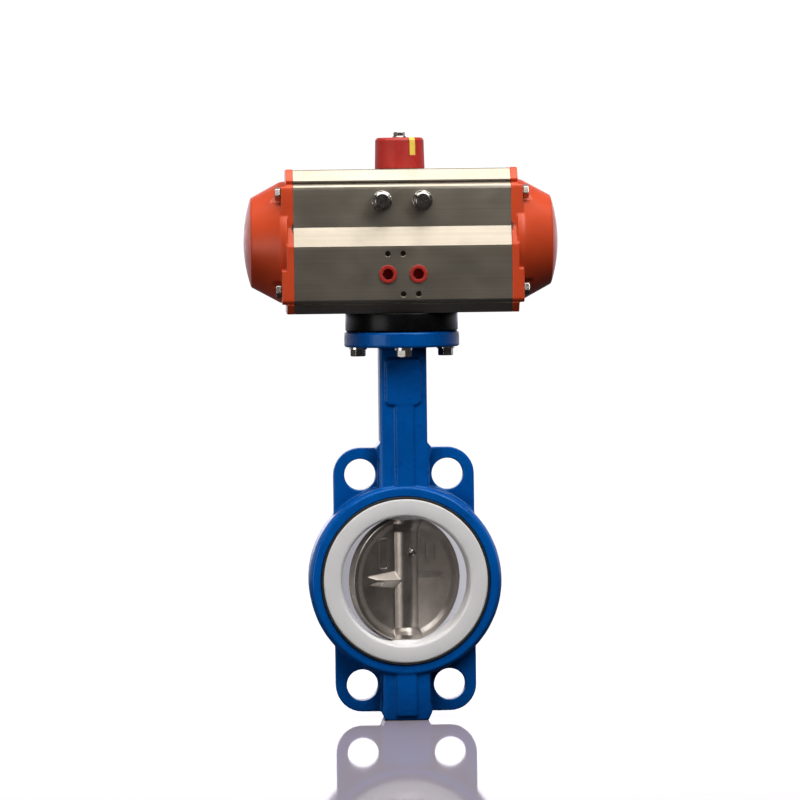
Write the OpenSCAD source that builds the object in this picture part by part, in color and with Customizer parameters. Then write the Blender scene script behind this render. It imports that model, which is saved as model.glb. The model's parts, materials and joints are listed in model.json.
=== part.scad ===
// Pneumatically actuated wafer butterfly valve, DN100, with a double-acting
// rack-and-pinion quarter-turn actuator on an F07 top flange.
// Units are millimetres. The origin is where the pipe axis (Y) crosses the
// stem axis (Z). +Z runs up the stem, the actuator cylinder lies along X and
// the air ports face -Y, the front. The disc is drawn partly open.

/* [Valve body] */
// Width of the seat across its two sealing faces
face_w = 52; // [52:0.5:54]
// Outside diameter of the cast ring
ring_od = 153.5; // [152:0.5:156]
// Diameter of the flat front and back faces of the ring
ring_face_d = 146.6; // [145:0.1:148]
// Width of the cast ring, without the seat
ring_w = 48; // [46:0.5:49]
// Thickness of the flange-bolt lugs
lug_t = 14; // [12:0.5:18]
// Circle diameter of the flange bolts
lug_pcd = 182.4; // [180:0.1:190]
// Diameter of the four lug holes
lug_hole_d = 25; // [22:0.5:26]
// Corner radius of the lugs
lug_r = 21.3; // [19:0.1:22]
// Width of the neck
neck_w = 37.5; // [35:0.5:40]
// Depth of the neck
neck_d = 42; // [38:0.5:46]
// Height of the underside of the top flange
flange_z0 = 186.0; // [180:0.1:192]
// Height of the top of the top flange
flange_z1 = 198.3; // [195:0.1:200]
// Diameter of the top flange
flange_d = 92; // [90:0.5:93]
// Bolt circle of the top flange
flange_pcd = 70; // [70:0.1:70.4]
// Height of the flat end of the lower boss
boss_z = -111.5; // [-114:0.1:-111]

/* [Seat and disc] */
// Inside diameter of the seat at its lips
bore_d = 101.8; // [101.4:0.1:102.2]
// Diameter of the white seat face
seat_face_d = 130.5; // [128:0.5:131]
// Diameter of the rubber edge around the seat face
rubber_d = 134; // [132:0.5:134.4]
// Diameter of the disc over its sealing edge
disc_d = 100; // [99.4:0.1:100.1]
// Thickness of the disc at its rim
disc_rim_t = 9; // [7:0.5:10]
// Thickness of the disc web
disc_web_t = 5; // [4:0.5:6]
// How far the disc is drawn open, in degrees from closed
open_deg = 30; // [20:1:40]
// Stem diameter
stem_d = 14; // [13:0.5:14]
// Across-flats size of the square stem end
stem_sq = 11; // [10:0.5:11]

/* [Actuator] */
// Length of the extruded cylinder body
cyl_len = 172; // [170:1:176]
// Height of the cylinder axis
cyl_z = 270.2; // [270:0.1:270.4]
// Cylinder bore
cyl_bore = 84; // [83:0.5:84]
// Underside of the cylinder body
cyl_z0 = 213.5; // [213.2:0.1:214]
// Top of the cylinder body
cyl_z1 = 327.5; // [327:0.1:328]
// Thickness of the end cap's plate
cap_plate_t = 5.8; // [5:0.1:7]
// Thickness of the bolt pads on the end cap
cap_pad_t = 3.9; // [3:0.1:5]
// Length of the cap's cone beyond its plate
cap_cone_l = 28; // [26:0.5:30]
// Base diameter of the cap's cone
cap_base_d = 97; // [95:0.5:98]
// Diameter of the cap's cone at its end
cap_end_d = 70; // [66:0.5:74]
// Height of the domed end of the cap
cap_dome_h = 5.6; // [4:0.1:7]

/* [Drive] */
// Gear module
gear_m = 2; // [2:0.5:2]
// Number of pinion teeth
gear_n = 16; // [16:1:16]
// Width of the gear and racks
gear_w = 24; // [20:1:24]
// Height of the two travel-stop bolts
stop_z = 302.4; // [302:0.1:303]
// Distance of each stop bolt from the stem axis
stop_x = 16; // [16:0.1:16.5]

/* [Indicator] */
// Diameter of the indicator cap
ind_d = 39; // [37:0.5:40]
// Top of the indicator cap
ind_z1 = 352.6; // [350:0.1:353]
// Width of the position stripe
stripe_w = 5; // [4:0.5:6]
// Direction of the stripe from the front, in degrees
stripe_deg = 30; // [0:1:45]

/* [Hidden] */
$fn = 96;
gap = 0.02;                              // clearance between touching parts
black = [0.06, 0.06, 0.06];
brass = [0.80, 0.68, 0.35];
ivory = [0.85, 0.83, 0.78];
piston_grey = [0.70, 0.70, 0.72];
cap_red = [0.80, 0.22, 0.10];
bolt_silver = [0.82, 0.82, 0.82];
stop_silver = [0.75, 0.75, 0.75];

// ---------- helpers ----------

function polar(radius, angle) = radius * [cos(angle), sin(angle)];

// points of an arc between two angles
function arc(center, radius, from, to, steps = 8) =
  [for (i = [0 : steps]) center + polar(radius, from + (to - from) * i / steps)];

// rounded rectangle centred on the origin
function rrect(width, height, radius, steps = 6) =
  let (x = width / 2 - radius, y = height / 2 - radius,
       centers = [[x, y], [-x, y], [-x, -y], [x, -y]])
  [for (i = [0 : 3]) each arc(centers[i], radius, 90 * i, 90 * (i + 1), steps)];

// half outline, closed by its mirror image; flip holds the sign of x and y
function mirrored(half, flip) = concat(half,
  [for (i = [len(half) - 1 : -1 : 0]) [half[i][0] * flip[0], half[i][1] * flip[1]]]);
function mirrored_x(half) = mirrored(half, [-1, 1]);
function mirrored_y(half) = mirrored(half, [1, -1]);

// ring with its axis along Z
module tube(outer_r, inner_r, z0, z1) {
  translate([0, 0, z0]) difference() {
    cylinder(r = outer_r, h = z1 - z0);
    translate([0, 0, -1]) cylinder(r = inner_r, h = z1 - z0 + 2);
  }
}

// ring seal of round section with its axis along Z
module oring(center_r, section_r) {
  rotate_extrude() translate([center_r, 0]) circle(r = section_r, $fn = 32);
}

// extrude a Y-Z outline along X
module along_x(x0, x1) {
  translate([x0, 0, 0]) rotate([90, 0, 90]) linear_extrude(height = x1 - x0)
    children();
}

// extrude an X-Z outline along Y
module along_y(y0, y1) {
  translate([0, y1, 0]) rotate([90, 0, 0]) linear_extrude(height = y1 - y0)
    children();
}

// turn a profile of (radius, y) about the Y axis
module round_y() {
  rotate([-90, 0, 0]) rotate_extrude() children();
}

// stand children at a point with their Z axis towards the front, -Y
module to_front(point) {
  translate(point) rotate([90, 0, 0]) children();
}

// stand children on the cylinder axis with their Z axis towards +X
module on_cyl_axis(x = 0) {
  translate([x, 0, cyl_z]) rotate([0, 90, 0]) children();
}

// the four places on the top flange's bolt circle
module at_flange_bolts(z) {
  for (angle = [0 : 90 : 270]) rotate([0, 0, angle])
    translate([flange_pcd / 2, 0, z]) children();
}

// everything that turns with the shaft is drawn at the closed position and
// then turned to the drawn opening
module at_opening() {
  rotate([0, 0, open_deg]) children();
}

// hexagon prism along Z
module hex(flats, height) {
  cylinder(r = flats / 2 / cos(30), h = height, $fn = 6);
}

// hexagon prism with its corners cut by a cone
module coned_hex(flats, height, bottom_r, top_r, turn = 0) {
  intersection() {
    rotate([0, 0, turn]) hex(flats, height);
    cylinder(r1 = bottom_r, r2 = top_r, h = height);
  }
}

// hexagon bolt pointing up, seated under z = 0
module bolt_up(shank_d, flats, head_h, length) {
  translate([0, 0, -head_h]) intersection() {
    hex(flats, head_h);
    translate([0, 0, -0.01])
      cylinder(r1 = flats * 0.5 + 0.1, r2 = flats * 0.5 + head_h, h = head_h + 0.02);
  }
  translate([0, 0, -0.5]) cylinder(r = shank_d / 2, h = length + 0.5);
}

// ---------- valve body ----------

lug_x = lug_pcd / 2 * sin(22.5);
lug_z = lug_pcd / 2 * cos(22.5);
lug_side = lug_x + lug_r;
lug_top = lug_z + lug_r;
ring_r = ring_od / 2;
ring_face_r = ring_face_d / 2;
ring_bore_r = 59;
rubber_r = rubber_d / 2;
recess_y = 19;                           // floor of the two seat recesses
neck_y = neck_d / 2;
neck_corner_r = 8;
neck_plan_w = 46;                        // rounded plan that trims neck and boss
stem_r = stem_d / 2;
bush_r = 10;
neck_bore_r = bush_r + 0.05;
plug_r = 13;
plug_top_z = -104;
gland_r = 14;
gland_t = 4;
flange_hole_r = 4.5;

// outline filling the corner between a lug plate's side and the ring
function side_fillet(radius) =
  let (x = lug_side + radius,
       z = sqrt(pow(ring_r + radius, 2) - pow(x, 2)))
  concat([[lug_side - 9, z]],
    arc([x, z], radius, 180, 180 + atan2(z, x), 5),
    [[x * 0.8, z * 0.8]]);

module lug_plate() {
  along_y(-lug_t / 2, lug_t / 2)
    polygon(rrect(2 * lug_side, 2 * lug_top, lug_r, 10));
  for (sx = [1, -1], sz = [1, -1]) scale([sx, 1, sz])
    along_y(-lug_t / 2, lug_t / 2)
      polygon(side_fillet(6));
}

module neck_outline() {
  half_w = neck_w / 2;
  polygon(mirrored_x([[-20, 60], [-20, 96], [-half_w - 4.3, lug_top - 0.6],
    [-half_w, 110], [-half_w, flange_z0 + 1]]));
}

module boss_outline() {
  polygon(mirrored_x([[19, -60], [19, -98], [20.4, 0.6 - lug_top], [17.2, boss_z]]));
}

// extrude a front outline over the neck's depth, with rounded upright corners
module rounded_column(z0, height) {
  intersection() {
    along_y(-neck_y, neck_y) children();
    translate([0, 0, z0]) linear_extrude(height = height)
      polygon(rrect(neck_plan_w, neck_d, neck_corner_r));
  }
}

// centre bands and the plain pad, raised on the front and back of the neck
module raised_bands() {
  band_t = 3;
  for (side = [1, -1]) {
    band_y = side * (neck_y + 0.4) - band_t / 2;
    pad_y = side * (neck_y + 0.7);
    translate([-6.6, band_y, 62]) cube([14.6, band_t, 88]);
    along_y(pad_y - band_t / 2, pad_y + band_t / 2)
      translate([0, 158.5]) polygon(rrect(28, 37, 4));
    translate([-8, band_y, boss_z + 3]) cube([16, band_t, 45]);
  }
}

module top_flange() {
  radius = flange_d / 2;
  height = flange_z1 - flange_z0;
  chamfer = 1;
  translate([0, 0, flange_z0]) rotate_extrude() polygon([[0, 0],
    [radius - chamfer, 0], [radius, chamfer],
    [radius, height - chamfer], [radius - chamfer, height], [0, height]]);
}

module valve_body() {
  color([0.0, 0.28, 0.60])
  difference() {
    union() {
      // ring
      round_y() polygon(mirrored_y([
        [60, -ring_w / 2],
        [ring_face_r, -ring_w / 2],
        [ring_face_r + 1.2, -ring_w / 2 + 0.6],
        [ring_r - 0.4, -ring_w / 2 + 4.6],
        [ring_r, -ring_w / 2 + 6.2]]));
      lug_plate();
      rounded_column(50, 150) neck_outline();
      raised_bands();
      rounded_column(boss_z, 60) boss_outline();
      top_flange();
    }
    // seat bore and the two seat recesses
    to_front([0, 40, 0]) cylinder(r = ring_bore_r, h = 80);
    for (side = [1, -1]) rotate([side * 90, 0, 0]) translate([0, 0, recess_y])
      cylinder(r = rubber_r + 0.1, h = 20);
    // lug holes
    for (x = [-lug_x, lug_x], z = [-lug_z, lug_z])
      to_front([x, 20, z]) cylinder(d = lug_hole_d, h = 40);
    // stem bore, plug bore and gland recess
    translate([0, 0, plug_top_z]) cylinder(r = neck_bore_r, h = 320);
    translate([0, 0, boss_z - 1]) cylinder(r = plug_r + 0.05, h = plug_top_z - boss_z + 1);
    translate([0, 0, flange_z1 - gland_t]) cylinder(r = gland_r + 0.05, h = 10);
    at_flange_bolts(flange_z0 - 5) cylinder(r = flange_hole_r, h = 30);
  }
}

// ---------- seat ----------

face_y = face_w / 2;                     // sealing face of the seat
seat_face_t = 3.5;                       // thickness of the white face
seat_face_r = seat_face_d / 2;
seat_joint_r = 53.5;                     // where seat and backing meet
bore_r = bore_d / 2;

// stem hole through both sides of the seat
module seat_stem_hole() {
  translate([0, 0, -80]) cylinder(r = stem_r + 0.08, h = 160);
}

module seat_backing() {
  color([0.05, 0.05, 0.05])
  difference() {
    round_y() polygon(mirrored_y([
      [seat_joint_r, face_y - seat_face_t],
      [seat_face_r + gap, face_y - seat_face_t],
      [seat_face_r + gap, face_y - 0.5],
      [rubber_r - 0.4, face_y - 0.5],
      [rubber_r, face_y - 0.9],
      [rubber_r, recess_y + gap],
      [ring_bore_r - 0.05, recess_y + gap]]));
    seat_stem_hole();
  }
}

module ptfe_seat() {
  color([0.90, 0.90, 0.89])
  difference() {
    union() {
      round_y() polygon(mirrored_y([
        [50.15, -9], [50.4, -13], [bore_r - 0.1, -17], [bore_r, -20.5],
        [bore_r + 0.3, 2.6 - face_y], [bore_r + 0.9, 1 - face_y],
        [bore_r + 1.9, 0.2 - face_y], [bore_r + 2.6, -face_y],
        [seat_face_r - 0.8, -face_y], [seat_face_r, 0.6 - face_y],
        [seat_face_r, seat_face_t - gap - face_y],
        [seat_joint_r - gap, seat_face_t - gap - face_y]]));
      // flats the disc hubs turn on
      for (side = [1, -1]) scale([1, 1, side]) intersection() {
        translate([0, 0, 48.1]) cylinder(r1 = 14.2, r2 = 16.5, h = 4);
        to_front([0, 20, 0]) cylinder(r = 52, h = 40);
      }
    }
    seat_stem_hole();
  }
}

// ---------- disc and stem ----------

disc_r = disc_d / 2;
web_y = disc_web_t / 2;
rim_y = disc_rim_t / 2;
hub_z = 48;                              // flat ends of the disc's shaft hubs
pin_z = 22;                              // height of the disc taper pin
pin_r = 2.5;

module pin_hole() {
  to_front([0, 20, pin_z]) cylinder(r = pin_r + gap, h = 40);
}

// block behind one sloping side of a rib; side is 1 for the upper slope
module rib_slope(side) {
  translate([14, -web_y, side * 6.3]) rotate([0, side * 7.2, 0])
    rotate([side * -36, 0, 0]) translate([-40, 0, -50 - 10 * side])
      cube([90, 40, 100]);
}

// stiffening ribs on the front face of the disc: hipped ridges that run out
// along X from the shaft boss and sink into the web
module disc_ribs() {
  for (side = [1, -1]) scale([side, 1, 1]) intersection() {
    translate([0, 0, -9]) linear_extrude(height = 18) polygon([[5, 1 - web_y],
      [5, -web_y - 6.2], [29, -web_y - 2.6], [36.6, -web_y], [36.6, 1 - web_y]]);
    rib_slope(1);
    rib_slope(-1);
  }
}

// plain raised outline on the front face of the disc
module disc_frame(width, height, corner_r, line_w) {
  to_front([0, -web_y + 0.3, 0]) linear_extrude(height = 0.65)
    difference() {
      polygon(rrect(width, height, corner_r, 4));
      polygon(rrect(width - 2 * line_w, height - 2 * line_w, corner_r - line_w * 0.6, 4));
    }
}

module disc() {
  color([0.52, 0.50, 0.47]) at_opening()
  difference() {
    union() {
      intersection() {
        union() {
          // web and rim, (radius, y)
          round_y() polygon(mirrored_y([[0, -web_y], [41.4, -web_y],
            [42.4, -web_y - 0.2], [45.6, -rim_y + 0.3], [46.4, -rim_y],
            [disc_r + 1, -rim_y]]));
          // shaft boss and hubs, (radius, z)
          rotate_extrude() polygon(mirrored_y([[0, -hub_z], [13.4, -hub_z],
            [13.4, -44.6], [12.2, -41.2], [10.8, -38.4]]));
        }
        sphere(r = disc_r, $fn = 128);
        translate([-60, -14, -hub_z]) cube([120, 28, 2 * hub_z]);
      }
      disc_ribs();
      rotate([0, 0, 180]) disc_ribs();
      translate([-21.8, 0, 20.7]) disc_frame(8.8, 24.6, 1.6, 0.8);
      translate([23.3, 0, 21.3]) disc_frame(10, 14.8, 3, 0.8);
    }
    translate([0, 0, -60]) cylinder(r = stem_r + gap, h = 120);
    pin_hole();
  }
}

module stem() {
  end_z = -102;
  color([0.72, 0.72, 0.73]) at_opening()
  difference() {
    union() {
      translate([0, 0, end_z]) cylinder(r1 = stem_r - 1, r2 = stem_r, h = 1);
      translate([0, 0, end_z + 1]) cylinder(r = stem_r, h = 293);
      // square upper end with rounded corners
      translate([0, 0, 191.5]) intersection() {
        cylinder(r1 = stem_r, r2 = stem_r - 0.02, h = 40);
        translate([-stem_sq / 2, -stem_sq / 2, 0]) cube([stem_sq, stem_sq, 40]);
      }
    }
    pin_hole();
  }
}

module disc_taper_pin() {
  length = 26.6;
  color([0.62, 0.62, 0.63]) at_opening()
  to_front([0, 12.4, pin_z]) {
    cylinder(r = pin_r, h = length);
    translate([0, 0, length]) cylinder(r1 = pin_r, r2 = 2.1, h = 0.4);
  }
}

module stem_bush(z0, z1) {
  tube(bush_r, stem_r + 0.05, z0, z1);
}
module lower_stem_bush() { color(brass) stem_bush(-100, -72); }
module middle_stem_bush() { color(brass) stem_bush(68, 96); }
module upper_stem_bush() { color(brass) stem_bush(158, 184); }

module stem_orings() {
  color(black)
  for (z = [-66, 62.5, 100, 187]) translate([0, 0, z])
    oring(stem_r + 1.53, 1.45);
}

module gland_ring() {
  inner_r = stem_r + 0.1;
  color([0.60, 0.60, 0.60]) difference() {
    union() {
      tube(gland_r, inner_r, flange_z1 - gland_t + gap, flange_z1 - 0.5);
      tube(bush_r, inner_r, flange_z1 - 8, flange_z1 - 3.5);
    }
    // two small holes in the top
    for (angle = [0, 180]) rotate([0, 0, angle])
      translate([11.8, 0, flange_z1 - 3.2]) cylinder(r = 1, h = 5);
  }
}

module bottom_plug() {
  sunk = 0.4;                            // how far it sits inside the boss end
  height = plug_top_z - boss_z - sunk - gap;
  color([0.45, 0.45, 0.46]) difference() {
    translate([0, 0, boss_z + sunk]) rotate_extrude() polygon([[0, 0],
      [plug_r - 0.6, 0], [plug_r, 0.6], [plug_r, height], [0, height]]);
    translate([0, 0, boss_z]) hex(10, 4.5);
  }
}

// ---------- flange joint ----------

washer_t = 1.9;

module flange_bolts() {
  color([0.80, 0.80, 0.80])
  at_flange_bolts(flange_z0 - washer_t) rotate([0, 0, 12])
    bolt_up(shank_d = 8, flats = 11, head_h = 5.6, length = 39);
}

module flange_washers() {
  color([0.72, 0.72, 0.72])
  at_flange_bolts(0) tube(7.2, 4.1, flange_z0 - washer_t, flange_z0 - gap);
}

module mounting_spacer() {
  inner_r = 27.5;
  outer_r = 45;
  height = cyl_z0 - flange_z1;
  color([0.05, 0.05, 0.05])
  difference() {
    translate([0, 0, flange_z1]) rotate_extrude() polygon([[inner_r, 0],
      [outer_r - 1.2, 0], [outer_r, 1.2], [outer_r, height - 0.5],
      [outer_r - 0.5, height], [inner_r, height]]);
    at_flange_bolts(flange_z1 - 5) cylinder(r = flange_hole_r, h = 30);
  }
}

// ---------- cylinder body ----------

cyl_r = cyl_bore / 2;
cyl_half = cyl_len / 2;
cap_bolt_y = 36;
cap_bolt_z = 38.3;                       // above and below the cylinder axis
port_z = 244.5;
port_x = 12;
lower_flat_y = 49;                       // flat sides of the cylinder body
upper_flat_y = 43;
channel_y = -43;                         // long air channel
channel_z = 238.5;
stop_bolt_r = 4;
lower_bearing_r = 16;
upper_bearing_r = 13;

// end view of the extruded body as (y, z), enlarged by grow
module body_outline(grow = 0) {
  polygon(mirrored_x([
    [29.6, cyl_z1 + grow], [30.6 + grow, cyl_z1 - 0.6 + grow],
    [38.4 + grow, 318.7 + grow], [38.4 + grow, 317.6],
    [36.4 + grow, 317.6], [36.4 + grow, 315.9],
    [40.0 + grow, 315.9], [41.7 + grow, 315.0], [42.7 + grow, 313.6],
    [upper_flat_y + grow, 311.6], [upper_flat_y + grow, 281.8],
    [lower_flat_y + grow, 266.7], [lower_flat_y + grow, 224.4],
    [lower_flat_y - 0.4 + grow, 223.4], [lower_flat_y - 1.5 + grow, 222.3],
    [lower_flat_y - 3.0 + grow, 222.3], [lower_flat_y - 3.0 + grow, 221.5],
    [lower_flat_y - 2.1 + grow, 220.9], [41, cyl_z0]]));
}

// the four cap screws of one end, placed in Y and Z
module at_cap_screws() {
  for (y = [-cap_bolt_y, cap_bolt_y], z = [-cap_bolt_z, cap_bolt_z])
    translate([0, y, cyl_z + z]) children();
}

// the two travel-stop bolt axes
module at_stops(y) {
  for (x = [-stop_x, stop_x]) to_front([x, y, stop_z]) children();
}

module cylinder_body() {
  screw_r = 2.1;
  pad_screw_z = 16;                      // above and below the ports
  color([0.62, 0.60, 0.55])
  difference() {
    along_x(-cyl_half, cyl_half) body_outline();
    on_cyl_axis(-cyl_half - 1) cylinder(r = cyl_r, h = cyl_len + 2);
    // pinion bearings
    translate([0, 0, cyl_z0 - 1]) cylinder(r = lower_bearing_r + 0.05, h = 40);
    translate([0, 0, cyl_z1 - 30]) cylinder(r = upper_bearing_r + 0.05, h = 40);
    at_stops(-20) cylinder(r = stop_bolt_r + 0.05, h = 40);
    // air ports: the left one opens into the middle chamber, the right one
    // meets the long channel that feeds both ends
    to_front([-port_x, -30, port_z]) cylinder(r = 5.7, h = 30);
    to_front([port_x, -39, port_z]) cylinder(r = 5.7, h = 30);
    translate([-cyl_half - 1, channel_y, channel_z]) rotate([0, 90, 0])
      cylinder(r = 2.2, h = cyl_len + 2);
    // valve-pad screws, as (x, height from the ports)
    for (place = [[-port_x, pad_screw_z], [0, pad_screw_z],
                  [0, -pad_screw_z], [port_x, -pad_screw_z]])
      to_front([place[0], -lower_flat_y, port_z + place[1]]) {
        translate([0, 0, -5.5]) cylinder(r = screw_r, h = 20);
        translate([0, 0, -0.4]) cylinder(r1 = screw_r, r2 = 2.9, h = 0.8);
      }
    // accessory screws on the top
    for (x = [-40, 40], y = [-15, 15])
      translate([x, y, cyl_z1 - 8]) cylinder(r = screw_r, h = 20);
    // mounting screws underneath
    at_flange_bolts(cyl_z0 - 5) cylinder(r = 4.05, h = 17);
    // cap screws
    for (side = [1, -1]) at_cap_screws()
      translate([side * (cyl_half - 18), 0, 0]) rotate([0, side * 90, 0])
        cylinder(r = 3.05, h = 30);
  }
}

// ---------- end caps ----------

// caps, seals and bolts are drawn for the right-hand end and mirrored for the left
cap_grow = 0.6;                          // how far the cap overhangs the body
cap_plate_x = cyl_half + cap_plate_t;    // outer face of the plate
cap_pad_x = cap_plate_x + cap_pad_t;     // outer face of the bolt pads

// bolt pads of one side as (y, z from the cylinder axis)
module cap_pads() {
  polygon(concat([[20, 30], [38, 16], [60, 16], [60, 44.2]], arc([34, 40.2], 4, 90, 150, 4)));
  polygon([[20, -30], [38, -22.2], [60, -22.2], [60, -46], [44, -49.0], [32, -49.0]]);
}

module end_cap() {
  cone_x = cap_plate_x + cap_cone_l;
  base_r = cap_base_d / 2;
  end_r = cap_end_d / 2;
  // radius of the sphere over the end
  dome_r = (end_r * end_r + cap_dome_h * cap_dome_h) / (2 * cap_dome_h);
  difference() {
    union() {
      along_x(cyl_half, cap_plate_x) body_outline(cap_grow);
      // bolt pads
      intersection() {
        along_x(cap_plate_x - 1, cap_pad_x) body_outline(cap_grow);
        along_x(cap_plate_x - 2, cap_pad_x + 1) translate([0, cyl_z])
          for (side = [1, -1]) scale([side, 1]) cap_pads();
      }
      // cone with its domed end, (radius, x)
      on_cyl_axis() rotate_extrude() polygon(concat(
        [[0, cap_plate_x - 1], [base_r, cap_plate_x - 1], [base_r, cap_pad_x - 1.5],
         [base_r - 0.6, cap_pad_x + 1.2], [end_r + 1.1, cone_x - 1.2],
         [end_r + 0.4, cone_x - 0.2]],
        [for (i = [0 : 10]) let (radius = end_r * (1 - i / 10))
          [radius, cone_x + sqrt(dome_r * dome_r - radius * radius) - (dome_r - cap_dome_h)]]));
    }
    // hollow inside, (radius, x)
    on_cyl_axis() rotate_extrude() polygon([[0, cyl_half - 1], [cyl_r - 2, cyl_half - 1],
      [cyl_r - 2, cap_plate_x + 2], [end_r - 4.5, cone_x - 3], [0, cone_x - 2]]);
    // seal groove
    on_cyl_axis(cyl_half - 1) tube(cyl_r + 3.2, cyl_r + 0.6, 0, 2.6);
    // screw holes and the pockets their heads sit in
    at_cap_screws() rotate([0, 90, 0]) {
      translate([0, 0, cyl_half - 1]) cylinder(r = 3.3, h = 30);
      translate([0, 0, cap_pad_x]) cylinder(r = 8.4, h = 40);
    }
  }
}
module left_end_cap() { color(cap_red) mirror([1, 0, 0]) end_cap(); }
module right_end_cap() { color(cap_red) end_cap(); }

module cap_seal() {
  on_cyl_axis(cyl_half + 0.05) tube(cyl_r + 3.0, cyl_r + 0.8, 0, 1.5);
}
module left_cap_seal() { color(black) mirror([1, 0, 0]) cap_seal(); }
module right_cap_seal() { color(black) cap_seal(); }

// bolts with a round collar under the head, pointing inwards
module cap_bolts() {
  at_cap_screws() translate([cap_pad_x + gap, 0, 0])
    rotate([0, -90, 0]) rotate([0, 0, 17]) {
      translate([0, 0, -0.5]) cylinder(r = 4.75, h = 0.5);
      translate([0, 0, -0.45]) bolt_up(shank_d = 6, flats = 10, head_h = 4.2, length = 25);
    }
}
module left_cap_bolts() { color(bolt_silver) mirror([1, 0, 0]) cap_bolts(); }
module right_cap_bolts() { color(bolt_silver) cap_bolts(); }

// ---------- pistons ----------

// drawn as the right-hand piston, whose rack passes in front of the pinion;
// the left-hand one is the same turned half round
pitch_r = gear_m * gear_n / 2;
tooth_pitch = PI * gear_m;
addendum = 0.85 * gear_m;
dedendum = 1.1 * gear_m;
pressure_deg = 20;
tooth_half_w = (tooth_pitch / 2 - 0.10) / 2;   // at the pitch line, less backlash
gear_z0 = cyl_z - gear_w / 2;
gear_z1 = cyl_z + gear_w / 2;
shift = pitch_r * open_deg * PI / 180;   // how far each piston has moved out
head_x = 38 + shift;                     // inner face of the head
head_t = 14;
arm_len = 73;
arm_x = head_x - arm_len;                // tip of the rack arm
arm_y = -36;                             // front of the rack arm
oring_groove_x = head_x + 8.5;
oring_groove_w = 3.6;
band_groove_x = head_x + 2;

// rack teeth along X at the pitch line y = 0, teeth towards +Y, a space at x = 0
module rack(x0, x1) {
  tip_half = tooth_half_w - addendum * tan(pressure_deg);
  root_half = tooth_half_w + dedendum * tan(pressure_deg);
  back_y = -dedendum - 6;
  first = ceil(x0 / tooth_pitch - 0.5);
  last = floor(x1 / tooth_pitch - 0.5);
  polygon(concat([[x0, back_y], [x0, -dedendum]],
    [for (k = [first : last]) let (x = (k + 0.5) * tooth_pitch)
      each [[x - root_half, -dedendum], [x - tip_half, addendum],
            [x + tip_half, addendum], [x + root_half, -dedendum]]],
    [[x1, -dedendum], [x1, back_y]]));
}

module piston() {
  difference() {
    union() {
      on_cyl_axis(head_x) cylinder(r = cyl_r - 0.06, h = head_t);
      // rack arm
      translate([arm_x, arm_y, gear_z0]) cube([arm_len + 1, 16, gear_w]);
      translate([0, -pitch_r, gear_z0]) linear_extrude(height = gear_w)
        rack(arm_x, head_x - 4);
      // gussets below and above the arm
      for (z = [gear_z0 - 4, gear_z1 + 1])
        translate([head_x - 12, -34, z]) cube([13, 16, 3]);
    }
    // ring groove, band groove and hollowed outer face
    on_cyl_axis(oring_groove_x) tube(cyl_r + 1, cyl_r - 3.4, 0, oring_groove_w);
    on_cyl_axis(band_groove_x) tube(cyl_r + 1, cyl_r - 1.6, 0, 4.5);
    on_cyl_axis(head_x + 5) tube(cyl_r - 9, 12, 0, 20);
  }
}
module left_piston() { color(piston_grey) rotate([0, 0, 180]) piston(); }
module right_piston() { color(piston_grey) piston(); }

module piston_oring() {
  on_cyl_axis(oring_groove_x + oring_groove_w / 2) oring(cyl_r - 1.68, 1.62);
}
module left_piston_oring() { color(black) rotate([0, 0, 180]) piston_oring(); }
module right_piston_oring() { color(black) piston_oring(); }

module piston_band() {
  on_cyl_axis(band_groove_x + 0.05) tube(cyl_r - 0.03, cyl_r - 1.55, 0, 4.4);
}
module left_piston_band() { color(ivory) rotate([0, 0, 180]) piston_band(); }
module right_piston_band() { color(ivory) piston_band(); }

// shoe between the front of the rack arm and the cylinder bore
module rack_shoe() {
  shoe_x = arm_x + 2;
  intersection() {
    on_cyl_axis(shoe_x) cylinder(r = cyl_r - 0.04, h = 32);
    translate([shoe_x - 1, -50, gear_z0 + 1.5]) cube([40, arm_y + 50 - gap, gear_w - 3]);
  }
}
module left_rack_shoe() { color(ivory) rotate([0, 0, 180]) rack_shoe(); }
module right_rack_shoe() { color(ivory) rack_shoe(); }

// ---------- pinion ----------

cam_z0 = 296;
cam_z1 = 306;
cam_seat_r = 11.5;                       // eight-sided seat of the stop cam
lower_journal_r = 14;
upper_journal_r = 10.5;
journal_top_z = 332;
shaft_tip_r = 8.5;
running_gap = 0.06;

// involute of an angle, in degrees
function inv(angle) = tan(angle) * 180 / PI - angle;

// half angle of a pinion tooth at a radius
function half_tooth(radius) =
  let (base_r = pitch_r * cos(pressure_deg))
  tooth_half_w / pitch_r * 180 / PI + inv(pressure_deg)
    - inv(acos(min(1, base_r / radius)));

// outline of one tooth about the direction center
function tooth(center) =
  let (base_r = pitch_r * cos(pressure_deg), tip_r = pitch_r + addendum,
       radii = [pitch_r - dedendum, base_r, base_r + 0.9, tip_r - 0.9, tip_r],
       halves = [for (radius = radii) half_tooth(max(radius, base_r))])
  concat(
    [for (i = [0 : 4]) polar(radii[i], center - halves[i])],
    [for (i = [4 : -1 : 0]) polar(radii[i], center + halves[i])]);

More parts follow.
